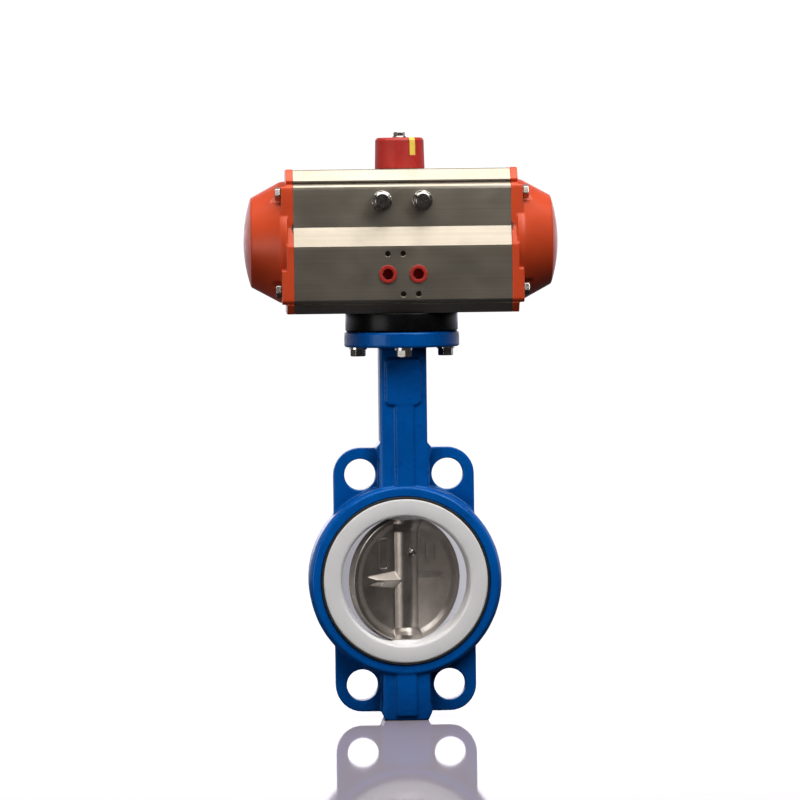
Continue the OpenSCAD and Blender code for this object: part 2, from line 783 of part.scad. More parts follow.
module pinion() {
  socket_w = stem_sq + 0.1;
  color([0.56, 0.57, 0.58])
  difference() {
    union() {
      translate([0, 0, cyl_z0 + 0.6]) cylinder(r = lower_journal_r, h = gear_z0 - cyl_z0);
      translate([0, 0, gear_z0]) linear_extrude(height = gear_w)
        polygon([for (k = [0 : gear_n - 1]) each tooth(k * 360 / gear_n)]);
      translate([0, 0, gear_z1 - 0.5]) cylinder(r = 13.2, h = cam_z0 - gear_z1 + 0.5);
      translate([0, 0, cam_z0 - 1]) at_opening()
        cylinder(r = cam_seat_r, h = cam_z1 - cam_z0 + 1, $fn = 8);
      translate([0, 0, cam_z1 - 1])
        cylinder(r = upper_journal_r, h = journal_top_z - cam_z1 + 1);
      translate([0, 0, journal_top_z - 1]) cylinder(r = shaft_tip_r, h = 15.8);
    }
    // square socket for the stem
    translate([0, 0, cyl_z0]) at_opening()
      translate([-socket_w / 2, -socket_w / 2, 0]) cube([socket_w, socket_w, 20]);
    // circlip groove
    tube(15, 9.4, cyl_z1 + 1.7, cyl_z1 + 3);
    // screw hole in the top
    translate([0, 0, 334]) cylinder(r = 2.55, h = 20);
  }
}

module lower_pinion_bearing() {
  color(ivory) tube(lower_bearing_r, lower_journal_r + running_gap, 218.4, 227.4);
}
module upper_pinion_bearing() {
  color(ivory) tube(upper_bearing_r, upper_journal_r + running_gap, 313.2, 318.8);
}
module lower_pinion_oring() { color(black) translate([0, 0, 216.6]) oring(15.03, 0.95); }
module upper_pinion_oring() { color(black) translate([0, 0, 321.4]) oring(11.78, 1.2); }
module thrust_washer() {
  color([0.75, 0.75, 0.72])
  tube(15, upper_journal_r + running_gap, cyl_z1 + 0.1, cyl_z1 + 1.6);
}

// ring with a gap at the front
module pinion_circlip() {
  gap_w = 4.4;
  color([0.25, 0.25, 0.26])
  difference() {
    tube(12.6, 9.45, cyl_z1 + 1.75, cyl_z1 + 2.9);
    translate([-gap_w / 2, -20, cyl_z1 - 1]) cube([gap_w, 20, 10]);
  }
}

// ---------- travel stops ----------

cam_flat = 7;                            // distance of the cam's flats from the axis

// cam plate whose two flats meet the stop bolts at the closed and open ends
module stop_cam() {
  thickness = cam_z1 - cam_z0 - 0.1;
  color([0.60, 0.60, 0.62]) at_opening()
  translate([0, 0, cam_z0 + 0.05]) difference() {
    union() {
      intersection() {
        cylinder(r = 21, h = thickness);
        translate([-cam_flat, -cam_flat, -1]) cube([40, 40, 40]);
      }
      cylinder(r = 13.2, h = thickness);
    }
    translate([0, 0, -1]) cylinder(r = cam_seat_r + 0.06, h = 40, $fn = 8);
  }
}

// stop bolt: screw shank along +Y with its hexagon head in front of the body
module stop_bolt(x, turn) {
  length = 51.2;
  translate([x, -cam_flat - 0.06 - length, stop_z]) rotate([-90, 0, 0])
    rotate([0, 0, turn]) {
      cylinder(r = stop_bolt_r, h = length);
      coned_hex(flats = 13.4, height = 5.6, bottom_r = 5.5, top_r = 12.5);
    }
}
module left_stop_bolt() { color(stop_silver) stop_bolt(-stop_x, 3); }
module right_stop_bolt() { color(stop_silver) stop_bolt(stop_x, 32); }

module stop_lock_nuts() {
  color([0.78, 0.78, 0.78])
  at_stops(-upper_flat_y - 1.65) difference() {
    union() {
      coned_hex(flats = 13, height = 6.5, bottom_r = 12, top_r = 6.3, turn = 20);
      cylinder(r = 8, h = 1.4);
    }
    translate([0, 0, -1]) cylinder(r = stop_bolt_r + 0.08, h = 20);
  }
}

module stop_seals() {
  color(black) at_stops(-upper_flat_y - gap) tube(7.0, stop_bolt_r + 0.1, 0, 1.6);
}

// ---------- indicator ----------

ind_r = ind_d / 2;
ind_z0 = cyl_z1 + 0.35;

// solid of the indicator's outer form, drawn in by inset
module indicator_form(inset = 0) {
  rotate_extrude() polygon([[0, ind_z0], [ind_r + 0.4 - inset, ind_z0],
    [ind_r + 0.4 - inset, cyl_z1 + 1.4],
    [ind_r - 0.1 - inset, ind_z1 - 2.0 - inset * 0.4],
    [ind_r - 1.7 - inset * 0.8, ind_z1 - inset], [0, ind_z1 - inset]]);
}

module stripe_box(width) {
  rotate([0, 0, stripe_deg]) translate([-width / 2, -30, ind_z1 - 14])
    cube([width, 17, 20]);
}

module indicator_cap() {
  color([0.75, 0.13, 0.11])
  difference() {
    indicator_form();
    // underside hollow, seat on the shaft and screw hole
    translate([0, 0, cyl_z1 - 1]) {
      cylinder(r = 16.2, h = 14.5);
      cylinder(r = shaft_tip_r + 0.06, h = 20.7);
      cylinder(r = 2.7, h = 60);
    }
    // recess for the stripe
    difference() {
      stripe_box(stripe_w);
      indicator_form(0.8);
    }
  }
}

module indicator_stripe() {
  color([0.90, 0.78, 0.20])
  difference() {
    intersection() {
      stripe_box(stripe_w - 0.06);
      indicator_form(-0.02);
    }
    indicator_form(0.77);
  }
}

module indicator_screw() {
  shank_z = 335;
  color([0.80, 0.80, 0.80]) {
    translate([0, 0, shank_z]) cylinder(r = 2.5, h = ind_z1 - shank_z + 0.5);
    translate([0, 0, ind_z1 + 0.02]) cylinder(r1 = 5.8, r2 = 5.5, h = 1.0);
    translate([0, 0, ind_z1 + 0.9]) rotate([0, 0, 6])
      coned_hex(flats = 8.2, height = 3.6, bottom_r = 7.6, top_r = 4.2);
  }
}

// ---------- port plugs ----------

// hollow plugs, open to the front, with a thin rim on the body's face
module port_plugs() {
  mouth_r = 4.4;
  color([0.65, 0.10, 0.10])
  for (x = [-port_x, port_x]) to_front([x, -lower_flat_y, port_z]) difference() {
    union() {
      translate([0, 0, -9.4]) cylinder(r = 5.6, h = 9.9);
      translate([0, 0, 0.02]) cylinder(r1 = 7.15, r2 = 6.9, h = 1.3);
    }
    translate([0, 0, -8.4]) cylinder(r1 = 4.0, r2 = mouth_r, h = 8);
    translate([0, 0, -0.5]) cylinder(r = mouth_r, h = 10);
  }
}

valve_body();
seat_backing();
ptfe_seat();
disc();
stem();
disc_taper_pin();
lower_stem_bush();
middle_stem_bush();
upper_stem_bush();
stem_orings();
gland_ring();
bottom_plug();
flange_bolts();
flange_washers();
mounting_spacer();
cylinder_body();
left_end_cap();
right_end_cap();
left_cap_seal();
right_cap_seal();
left_cap_bolts();
right_cap_bolts();
left_piston();
right_piston();
left_piston_oring();
right_piston_oring();
left_piston_band();
right_piston_band();
left_rack_shoe();
right_rack_shoe();
pinion();
lower_pinion_bearing();
upper_pinion_bearing();
lower_pinion_oring();
upper_pinion_oring();
thrust_washer();
pinion_circlip();
stop_cam();
left_stop_bolt();
right_stop_bolt();
stop_lock_nuts();
stop_seals();
indicator_cap();
indicator_stripe();
indicator_screw();
port_plugs();
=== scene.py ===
# A butterfly valve with a cylinder actuator on top: looks, floor, lights and camera.
# The pipe axis runs along Y through the origin. The actuator's cylinder runs along X
# above the valve. The camera stands on the -Y side and looks towards +Y. Left is -X.
# Lengths are in metres unless a name ends in _mm. Colours are linear RGB.
import bpy
import bmesh
import json
import math
import random
from mathutils import Matrix, Vector


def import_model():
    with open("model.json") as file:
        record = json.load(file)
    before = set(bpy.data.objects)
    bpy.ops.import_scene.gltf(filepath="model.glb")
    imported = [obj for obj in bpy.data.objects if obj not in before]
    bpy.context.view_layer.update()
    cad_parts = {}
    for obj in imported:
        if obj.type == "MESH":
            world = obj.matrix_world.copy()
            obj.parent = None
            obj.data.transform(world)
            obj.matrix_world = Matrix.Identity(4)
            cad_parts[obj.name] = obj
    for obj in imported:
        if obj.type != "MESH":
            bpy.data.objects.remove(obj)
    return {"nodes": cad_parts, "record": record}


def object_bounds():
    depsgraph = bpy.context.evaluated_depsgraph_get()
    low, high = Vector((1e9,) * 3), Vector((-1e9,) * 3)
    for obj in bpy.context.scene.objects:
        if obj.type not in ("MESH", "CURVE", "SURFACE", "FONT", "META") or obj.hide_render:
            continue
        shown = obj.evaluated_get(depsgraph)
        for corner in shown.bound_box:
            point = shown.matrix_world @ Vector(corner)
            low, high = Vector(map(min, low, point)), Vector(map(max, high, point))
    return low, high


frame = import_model()
cad_lo, cad_hi = [list(corner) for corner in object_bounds()]
nodes = frame["nodes"]
scene = bpy.context.scene
random.seed(7)

MM = 0.001
NOISE_SPAN = (0.3, 0.7)  # the range that holds most noise values

# Actuator cylinder
BORE_RADIUS = 0.042
BORE_MARGIN = 0.0006  # edges closer to the bore than this stay sharp
BORE_AXIS_Z = 0.2702
BORE_EDGE_ANGLE = 18  # degrees

# Floor and backdrop
FLOOR_RADIUS = 14
FLOOR_SIDES = 48
FLOOR_GAP = 0.0002  # between the lowest CAD point and the floor
FLOOR_LOW = (0.385, 0.345, 0.410)  # sheet seen at a low angle, around the valve
FLOOR_FAR = (0.325, 0.302, 0.356)  # sheet seen at a low angle, out towards the camera
BACKDROP_LEVEL = 1.05


# --------------------------------------------------------------------------
# node tree helpers
# --------------------------------------------------------------------------


class Graph:
    """Short ways to add and link nodes in any node tree."""

    def __init__(self, tree):
        self.tree = tree

    def link(self, output, socket):
        self.tree.links.new(output, socket)

    def put(self, socket, value):
        """Links an output to the socket, or sets the socket to a plain value."""
        if isinstance(value, bpy.types.NodeSocket):
            self.link(value, socket)
        elif socket.type == "RGBA":
            socket.default_value = (*value, 1.0)
        else:
            socket.default_value = value

    def node(self, kind, inputs=None, **settings):
        node = self.tree.nodes.new(kind)
        for name, value in settings.items():
            setattr(node, name, value)
        for socket, value in (inputs or {}).items():
            self.put(node.inputs[socket], value)
        return node

    def calc(self, operation, *values, clamp=False):
        inputs = dict(enumerate(values))
        node = self.node("ShaderNodeMath", inputs, operation=operation, use_clamp=clamp)
        return node.outputs[0]

    def remap(self, value, over=NOISE_SPAN, to=(0.0, 1.0), smooth=False):
        """Maps the range over onto the range to, clamped at both ends."""
        return self.node("ShaderNodeMapRange", {
            "Value": value, "From Min": over[0], "From Max": over[1],
            "To Min": to[0], "To Max": to[1],
        }, interpolation_type="SMOOTHSTEP" if smooth else "LINEAR").outputs[0]

    def ramp(self, value, stops):
        """Colour ramp whose stops are (position, colour)."""
        node = self.node("ShaderNodeValToRGB", {0: value})
        elements = node.color_ramp.elements
        while len(elements) < len(stops):
            elements.new(0.5)
        for element, (position, colour) in zip(elements, stops):
            element.position = position
            element.color = (*colour, 1.0)
        return node.outputs[0]

    def separate(self, vector):
        return self.node("ShaderNodeSeparateXYZ", {0: vector}).outputs

    def distance(self, a, b):
        """Distance from an axis, given the two coordinates across it."""
        squares = [self.calc("MULTIPLY", side, side) for side in (a, b)]
        return self.calc("SQRT", self.calc("ADD", *squares))

    def mix_shader(self, amount, first, second):
        return self.node("ShaderNodeMixShader", {0: amount, 1: first, 2: second}).outputs[0]


class Material(Graph):
    """A material's node tree, with patterns in object space."""

    def __init__(self, name):
        self.material = bpy.data.materials.new(name)
        self.material.use_nodes = True
        super().__init__(self.material.node_tree)
        self.tree.nodes.clear()
        self.output = self.node("ShaderNodeOutputMaterial").inputs[0]
        self.position = self.node("ShaderNodeTexCoord").outputs["Object"]

    def noise(self, size_mm, detail=3.0, rough=0.55):
        """Noise whose features are about size_mm across."""
        return self.node("ShaderNodeTexNoise", {
            "Vector": self.position, "Scale": 1000.0 / size_mm,
            "Detail": detail, "Roughness": rough,
        }).outputs["Fac"]

    def streaks(self, density, detail, rough):
        """Noise stretched into lines; density is features per metre in X, Y and Z."""
        stretched = self.node("ShaderNodeMapping", {"Vector": self.position, "Scale": density})
        return self.node("ShaderNodeTexNoise", {
            "Vector": stretched.outputs[0], "Scale": 1.0, "Detail": detail, "Roughness": rough,
        }).outputs["Fac"]

    def weighted(self, *pairs):
        """Sum of two (value, weight) pairs."""
        return self.calc("ADD", *[self.calc("MULTIPLY", *pair) for pair in pairs])

    def mix(self, colour, other, amount):
        inputs = {0: amount, 6: colour, 7: other}
        return self.node("ShaderNodeMix", inputs, data_type="RGBA").outputs[2]

    def tint(self, colour, other, by, over, amount=1.0):
        """Mixes in the other colour, up to amount, as by crosses the range over."""
        return self.mix(colour, other, self.remap(by, over=over, to=(0.0, amount)))

    def bump(self, height, depth_mm, strength, normal=None):
        inputs = {"Strength": strength, "Distance": depth_mm * MM, "Height": height}
        if normal is not None:
            inputs["Normal"] = normal
        return self.node("ShaderNodeBump", inputs).outputs[0]

    def geometry(self):
        return self.node("ShaderNodeNewGeometry").outputs

    def pointiness(self):
        """Above 0.5 on convex edges, below 0.5 in corners."""
        return self.geometry()["Pointiness"]

    def occlusion(self, distance, samples):
        node = self.node("ShaderNodeAmbientOcclusion", {"Distance": distance}, samples=samples)
        return node.outputs["AO"]

    def xyz(self):
        return self.separate(self.position)

    def edge(self, radius_mm, over=(0.004, 0.12)):
        """1 along convex and concave edges of the shape, 0 on its faces."""
        bevel = self.node("ShaderNodeBevel", {"Radius": radius_mm * MM}, samples=4)
        normals = {0: bevel.outputs[0], 1: self.geometry()["Normal"]}
        agreement = self.node("ShaderNodeVectorMath", normals, operation="DOT_PRODUCT")
        return self.remap(self.calc("SUBTRACT", 1.0, agreement.outputs["Value"]), over=over)

    def surface(self, colour, rough, normal, extra=None):
        """Ends the tree in a Principled shader; extra holds further inputs by name."""
        inputs = {"Base Color": colour, "Roughness": rough, "Normal": normal, **(extra or {})}
        shader = self.node("ShaderNodeBsdfPrincipled", inputs)
        self.link(shader.outputs[0], self.output)
        return self.material


class GeometryGroup(Graph):
    """A geometry node group with one geometry input and one geometry output."""

    def __init__(self, name):
        super().__init__(bpy.data.node_groups.new(name, "GeometryNodeTree"))
        for in_out in ("INPUT", "OUTPUT"):
            self.tree.interface.new_socket(
                "Geometry", in_out=in_out, socket_type="NodeSocketGeometry")
        self.geometry = self.node("NodeGroupInput").outputs[0]
        self.result = self.node("NodeGroupOutput").inputs[0]

    def finish(self, last_node):
        self.link(last_node.outputs[0], self.result)
        return self.tree


# --------------------------------------------------------------------------
# materials
# --------------------------------------------------------------------------


def blue_paint():
    mat = Material("blue_paint")
    broad = mat.noise(size_mm=38, detail=3, rough=0.5)
    fine = mat.noise(size_mm=2.2, detail=4, rough=0.6)
    casting = mat.noise(size_mm=5.5, detail=3, rough=0.55)
    colour = mat.ramp(broad, [
        (0.30, (0.000, 0.088, 0.400)),
        (0.52, (0.000, 0.109, 0.482)),
        (0.72, (0.000, 0.128, 0.548)),
    ])
    colour = mat.tint(colour, (0.0, 0.052, 0.23), by=fine, over=(0.42, 0.62), amount=0.14)
    # lighter edges from thinner paint, with a painted highlight; darker corners are painted
    # shade
    point = mat.pointiness()
    colour = mat.tint(colour, (0.004, 0.175, 0.56), by=point, over=(0.52, 0.60), amount=0.40)
    colour = mat.tint(colour, (0.0, 0.030, 0.13), by=point, over=(0.47, 0.40), amount=0.50)
    # painted shade in the hollows, darker where occlusion finds little open space
    openness = mat.occlusion(distance=0.045, samples=8)
    uneven = mat.remap(mat.noise(size_mm=6, detail=3, rough=0.5), to=(-0.04, 0.04))
    painted_hollow_shade = mat.remap(mat.calc("ADD", openness, uneven),
                       over=(0.30, 0.92), to=(0.72, 0.0), smooth=True)
    colour = mat.mix(colour, (0.0, 0.016, 0.085), painted_hollow_shade)
    # painted shade: darker up the neck and on the top flange, under the actuator's overhang
    height = mat.xyz()[2]
    shade = (0.0, 0.020, 0.10)
    colour = mat.tint(colour, shade, by=height, over=(0.070, 0.150), amount=0.13)
    colour = mat.tint(colour, shade, by=height, over=(0.180, 0.190), amount=0.20)
    # a few chips down to the primer, more of them where the foot gets knocked
    chip_noise = mat.noise(size_mm=1.5, detail=5, rough=0.7)
    foot = mat.remap(height, over=(-0.114, -0.098), to=(1.0, 0.0))
    foot_boost = mat.calc("MULTIPLY", foot, 0.045)
    chips = mat.remap(mat.calc("ADD", chip_noise, foot_boost), over=(0.735, 0.75))
    chips = mat.calc("MULTIPLY", chips, mat.remap(point, over=(0.52, 0.54)), clamp=True)
    primer = mat.ramp(mat.noise(size_mm=1.1, detail=4, rough=0.6), [
        (0.35, (0.03, 0.035, 0.06)),
        (0.6, (0.10, 0.07, 0.06)),
        (0.8, (0.20, 0.19, 0.19)),
    ])
    colour = mat.mix(colour, primer, chips)
    rough = mat.remap(mat.noise(size_mm=9, detail=4, rough=0.6), to=(0.24, 0.36))
    rough = mat.calc("ADD", rough, mat.calc("MULTIPLY", chips, 0.4), clamp=True)
    relief = mat.weighted((casting, 0.7), (fine, 0.3))
    normal = mat.bump(relief, depth_mm=0.20, strength=0.7)
    return mat.surface(colour, rough, normal, {
        "Coat Weight": 0.11, "Coat Roughness": 0.06,
        "Coat Normal": mat.bump(casting, depth_mm=0.10, strength=0.4),
        "Specular IOR Level": 0.40, "IOR": 1.5, "Specular Tint": (0.25, 0.62, 1.0),
    })


def orange_red_paint():
    mat = Material("orange_red_paint")
    broad = mat.noise(size_mm=45, detail=3, rough=0.5)
    colour = mat.ramp(broad, [
        (0.30, (0.50, 0.050, 0.013)),
        (0.52, (0.57, 0.061, 0.017)),
        (0.74, (0.63, 0.072, 0.021)),
    ])
    grain = mat.noise(size_mm=0.9, detail=4, rough=0.65)
    colour = mat.tint(colour, (0.44, 0.034, 0.006), by=grain, over=(0.45, 0.65), amount=0.12)
    # paint thins on the edges, and chips there
    edge = mat.edge(radius_mm=0.9)
    colour = mat.mix(colour, (0.90, 0.17, 0.05), mat.calc("MULTIPLY", edge, 0.30))
    chips = mat.remap(mat.noise(size_mm=1.4, detail=5, rough=0.7), over=(0.72, 0.74))
    chips = mat.calc("MULTIPLY", chips, edge, clamp=True)
    colour = mat.mix(colour, (0.35, 0.30, 0.28), chips)
    peel = mat.noise(size_mm=1.6, detail=3, rough=0.5)
    rough = mat.remap(mat.noise(size_mm=7, detail=4, rough=0.6), to=(0.34, 0.46))
    relief = mat.weighted((peel, 0.6), (grain, 0.4))
    normal = mat.bump(relief, depth_mm=0.10, strength=0.7)
    return mat.surface(colour, rough, normal, {
        "Coat Weight": 0.17, "Coat Roughness": 0.26,
        "Coat Normal": mat.bump(peel, depth_mm=0.07, strength=0.6),
        "Specular IOR Level": 0.42, "IOR": 1.5, "Specular Tint": (1.0, 0.72, 0.60),
    })


def anodised_body():
    groove_z, groove_reach = 0.31375, 0.0023  # the radius under the top groove

    mat = Material("anodised_body")
    # drawing lines run along the extrusion
    lines = mat.streaks(density=(2.0, 700.0, 700.0), detail=3, rough=0.6)
    hairlines = mat.streaks(density=(9.0, 2600.0, 2600.0), detail=2, rough=0.5)
    blotch = mat.noise(size_mm=26, detail=4, rough=0.55)
    colour = mat.ramp(lines, [
        (0.25, (0.345, 0.308, 0.250)),
        (0.5, (0.385, 0.347, 0.287)),
        (0.75, (0.420, 0.382, 0.318)),
    ])
    colour = mat.tint(colour, (0.30, 0.27, 0.222), by=blotch, over=(0.35, 0.65), amount=0.22)
    spots = mat.remap(mat.noise(size_mm=3.2, detail=5, rough=0.75),
                      over=(0.70, 0.76), to=(0.0, 0.22))
    colour = mat.mix(colour, (0.22, 0.19, 0.16), spots)
    # pinholes of oxide and pale rubs
    pinholes = mat.noise(size_mm=1.1, detail=3, rough=0.6)
    colour = mat.tint(colour, (0.16, 0.14, 0.12), by=pinholes, over=(0.72, 0.77), amount=0.35)
    rubs = mat.streaks(density=(26.0, 160.0, 160.0), detail=4, rough=0.7)
    colour = mat.tint(colour, (0.56, 0.53, 0.47), by=rubs, over=(0.62, 0.76), amount=0.30)
    # screw holes and ports fall into shade
    openness = mat.occlusion(distance=0.007, samples=6)
    lit = mat.remap(openness, over=(0.02, 0.32), smooth=True)
    colour = mat.mix((0.016, 0.014, 0.012), colour, lit)
    # painted shade: the lower faces are darker
    colour = mat.tint(colour, (0.19, 0.165, 0.130), by=mat.xyz()[2],
                      over=(0.2655, 0.2640), amount=0.30)
    rough = mat.remap(blotch, to=(0.36, 0.46))
    rough = mat.calc("ADD", rough, mat.calc("MULTIPLY", spots, 0.3))
    # the flats keep their true normals, the radius under the top groove stays smooth
    normals = mat.geometry()
    from_groove = mat.calc("ABSOLUTE", mat.calc("SUBTRACT", mat.xyz()[2], groove_z))
    flat = mat.calc("GREATER_THAN", from_groove, groove_reach)
    picked = mat.node("ShaderNodeMix", {
        0: flat, 4: normals["Normal"], 5: normals["True Normal"],
    }, data_type="VECTOR").outputs[1]
    drawn = mat.weighted((lines, 0.6), (hairlines, 0.4))
    normal = mat.bump(drawn, depth_mm=0.010, strength=0.35, normal=picked)
    waves = mat.noise(size_mm=7, detail=3, rough=0.5)
    normal = mat.bump(waves, depth_mm=0.05, strength=0.5, normal=normal)
    return mat.surface(colour, rough, normal, {"Metallic": 0.93})


def bright_screws():
    mat = Material("bright_screws")
    colour = mat.ramp(mat.noise(size_mm=2.5, detail=4, rough=0.6), [
        (0.3, (0.34, 0.32, 0.30)),
        (0.55, (0.46, 0.44, 0.415)),
        (0.8, (0.56, 0.54, 0.515)),
    ])
    # painted highlight on the edges, painted shade in the corners
    point = mat.pointiness()
    colour = mat.tint(colour, (0.88, 0.86, 0.83), by=point, over=(0.51, 0.58), amount=0.85)
    colour = mat.tint(colour, (0.07, 0.06, 0.05), by=point, over=(0.48, 0.42), amount=0.80)
    tarnish = mat.noise(size_mm=1.2, detail=5, rough=0.7)
    colour = mat.tint(colour, (0.20, 0.16, 0.125), by=tarnish, over=(0.60, 0.70), amount=0.45)
    rough = mat.remap(mat.noise(size_mm=1.6, detail=4, rough=0.6), to=(0.18, 0.30))
    relief = mat.noise(size_mm=1.8, detail=3, rough=0.5)
    normal = mat.bump(relief, depth_mm=0.018, strength=0.5)
    return mat.surface(colour, rough, normal, {"Metallic": 1.0})


def cast_stainless():
    mat = Material("cast_stainless")
    grain = mat.noise(size_mm=0.55, detail=4, rough=0.7)
    sand = mat.noise(size_mm=1.6, detail=4, rough=0.6)
    broad = mat.noise(size_mm=16, detail=4, rough=0.55)
    colour = mat.ramp(broad, [
        (0.30, (0.41, 0.369, 0.333)),
        (0.55, (0.525, 0.478, 0.437)),
        (0.78, (0.60, 0.553, 0.512)),
    ])
    colour = mat.tint(colour, (0.31, 0.275, 0.245), by=grain, over=(0.42, 0.60), amount=0.35)
    # painted highlight on the edges, painted shade in the corners
    point = mat.pointiness()
    colour = mat.tint(colour, (0.90, 0.85, 0.79), by=point, over=(0.515, 0.57), amount=0.75)
    colour = mat.tint(colour, (0.13, 0.11, 0.095), by=point, over=(0.48, 0.42), amount=0.7)
    pits = mat.remap(mat.noise(size_mm=0.9, detail=3, rough=0.5),
                     over=(0.70, 0.76), to=(0.0, 0.7))
    colour = mat.mix(colour, (0.10, 0.08, 0.07), pits)
    rough = mat.remap(sand, to=(0.30, 0.44))
    edge_polish = mat.remap(point, over=(0.52, 0.60), to=(0.0, 0.14))
    rough = mat.calc("SUBTRACT", rough, edge_polish)
    skin = mat.weighted((grain, 0.55), (sand, 0.45))
    relief = mat.calc("SUBTRACT", skin, mat.calc("MULTIPLY", pits, 0.5))
    normal = mat.bump(relief, depth_mm=0.10, strength=0.8)
    return mat.surface(colour, rough, normal, {"Metallic": 1.0})


# Density of turning lines per metre in X, Y and Z, for parts turned about Z and about Y
TURNED_ABOUT_Z = (60, 60, 4200)
TURNED_ABOUT_Y = (60, 4200, 60)


def turned_metal(name, base, dark, rough_range, density=TURNED_ABOUT_Z):
    mat = Material(name)
    lines = mat.streaks(density=density, detail=2, rough=0.5)
    colour = mat.tint(base, dark, by=lines, over=(0.35, 0.65), amount=0.5)
    stains = mat.noise(size_mm=4, detail=4, rough=0.6)
    colour = mat.tint(colour, dark, by=stains, over=(0.5, 0.75), amount=0.4)
    rough = mat.remap(mat.noise(size_mm=2.0, detail=3, rough=0.6), to=rough_range)
    normal = mat.bump(lines, depth_mm=0.03, strength=0.6)
    return mat.surface(colour, rough, normal, {"Metallic": 1.0, "Anisotropic": 0.3})


def white_ptfe():
    ring_density = 2600.0  # turning marks per metre of radius

    mat = Material("white_ptfe")
    colour = mat.ramp(mat.noise(size_mm=22, detail=3, rough=0.5), [
        (0.3, (0.86, 0.865, 0.885)),
        (0.55, (0.90, 0.905, 0.92)),
        (0.8, (0.93, 0.935, 0.945)),
    ])
    # turning marks are rings about the pipe axis
    position = mat.xyz()
    radius = mat.distance(position[0], position[2])
    rings = mat.node("ShaderNodeTexNoise", noise_dimensions="1D")
    mat.put(rings.inputs["W"], mat.calc("MULTIPLY", radius, ring_density))
    mat.put(rings.inputs["Scale"], 1.0)
    mat.put(rings.inputs["Detail"], 2.0)
    rings = rings.outputs["Fac"]
    colour = mat.tint(colour, (0.74, 0.745, 0.76), by=rings, over=(0.4, 0.7), amount=0.10)
    # handling marks
    smudges = mat.noise(size_mm=6, detail=5, rough=0.7)
    colour = mat.tint(colour, (0.66, 0.65, 0.64), by=smudges, over=(0.62, 0.74), amount=0.22)
    rough = mat.remap(mat.noise(size_mm=4, detail=4, rough=0.6), to=(0.36, 0.50))
    waves = mat.noise(size_mm=2.4, detail=3, rough=0.5)
    normal = mat.bump(mat.weighted((rings, 0.5), (waves, 0.5)), depth_mm=0.06, strength=0.5)
    return mat.surface(colour, rough, normal, {
        "Subsurface Weight": 0.08, "Subsurface Scale": 0.002,
        "Subsurface Radius": (1.0, 0.9, 0.85), "IOR": 1.38,
    })


def black_rubber():
    mat = Material("black_rubber")
    grain = mat.noise(size_mm=1.3, detail=4, rough=0.6)
    colour = mat.ramp(grain, [(0.3, (0.012, 0.012, 0.013)), (0.7, (0.030, 0.029, 0.029))])
    dust = mat.noise(size_mm=5, detail=5, rough=0.7)
    colour = mat.tint(colour, (0.065, 0.06, 0.058), by=dust, over=(0.55, 0.75), amount=0.30)
    rough = mat.remap(grain, to=(0.50, 0.68))
    return mat.surface(colour, rough, mat.bump(grain, depth_mm=0.06, strength=0.6))


def black_coat():
    mat = Material("black_coat")
    grain = mat.noise(size_mm=1.8, detail=4, rough=0.6)
    colour = mat.ramp(mat.noise(size_mm=14, detail=4, rough=0.6), [
        (0.3, (0.0022, 0.0022, 0.0025)),
        (0.7, (0.0055, 0.0055, 0.006)),
    ])
    edge = mat.edge(radius_mm=0.6, over=(0.03, 0.16))
    wear = mat.remap(mat.noise(size_mm=2.2, detail=4, rough=0.6),
                     over=(0.52, 0.66), to=(0.0, 0.6))
    colour = mat.mix(colour, (0.10, 0.098, 0.095), mat.calc("MULTIPLY", edge, wear))
    lines = mat.streaks(density=(40, 40, 3000), detail=2, rough=0.5)
    waves = mat.noise(size_mm=9, detail=3, rough=0.5)
    relief = mat.weighted((lines, 0.3), (waves, 0.7))
    normal = mat.bump(relief, depth_mm=0.020, strength=0.25)
    rough = mat.remap(grain, to=(0.25, 0.29))
    return mat.surface(colour, rough, normal, {"Metallic": 0.0, "Specular IOR Level": 0.15})


def moulded(name, base, pale, rough_range, wear=(0.9, 0.5, 0.45)):
    """Moulded plastic; wear is the colour of its rubbed edges."""
    mat = Material(name)
    colour = mat.tint(base, pale, by=mat.noise(size_mm=12, detail=3, rough=0.5),
                      over=(0.35, 0.65))
    grain = mat.noise(size_mm=0.7, detail=3, rough=0.6)
    grain_colour = tuple(0.7 * channel for channel in base)
    colour = mat.tint(colour, grain_colour, by=grain, over=(0.45, 0.68), amount=0.15)
    edge = mat.edge(radius_mm=0.8)
    worn = mat.remap(mat.noise(size_mm=2.5, detail=4, rough=0.6),
                     over=(0.45, 0.7), to=(0.05, 0.30))
    colour = mat.mix(colour, wear, mat.calc("MULTIPLY", edge, worn))
    scuffs = mat.remap(mat.noise(size_mm=3.5, detail=5, rough=0.75),
                       over=(0.66, 0.74), to=(0.0, 0.14))
    rough = mat.remap(mat.noise(size_mm=3, detail=4, rough=0.6), to=rough_range)
    rough = mat.calc("ADD", rough, scuffs)
    return mat.surface(colour, rough, mat.bump(grain, depth_mm=0.05, strength=0.5), {
        "Subsurface Weight": 0.05, "Subsurface Scale": 0.002,
        "Subsurface Radius": (1.0, 0.4, 0.3), "IOR": 1.48,
    })


def cast_aluminium():
    mat = Material("cast_aluminium")
    grain = mat.noise(size_mm=1.2, detail=4, rough=0.6)
    colour = mat.ramp(mat.noise(size_mm=12, detail=4, rough=0.6), [
        (0.3, (0.50, 0.50, 0.50)),
        (0.7, (0.66, 0.66, 0.66)),
    ])
    colour = mat.tint(colour, (0.36, 0.36, 0.37), by=grain, over=(0.5, 0.7), amount=0.3)
    rough = mat.remap(grain, to=(0.34, 0.48))
    normal = mat.bump(grain, depth_mm=0.06, strength=0.6)
    return mat.surface(colour, rough, normal, {"Metallic": 1.0})


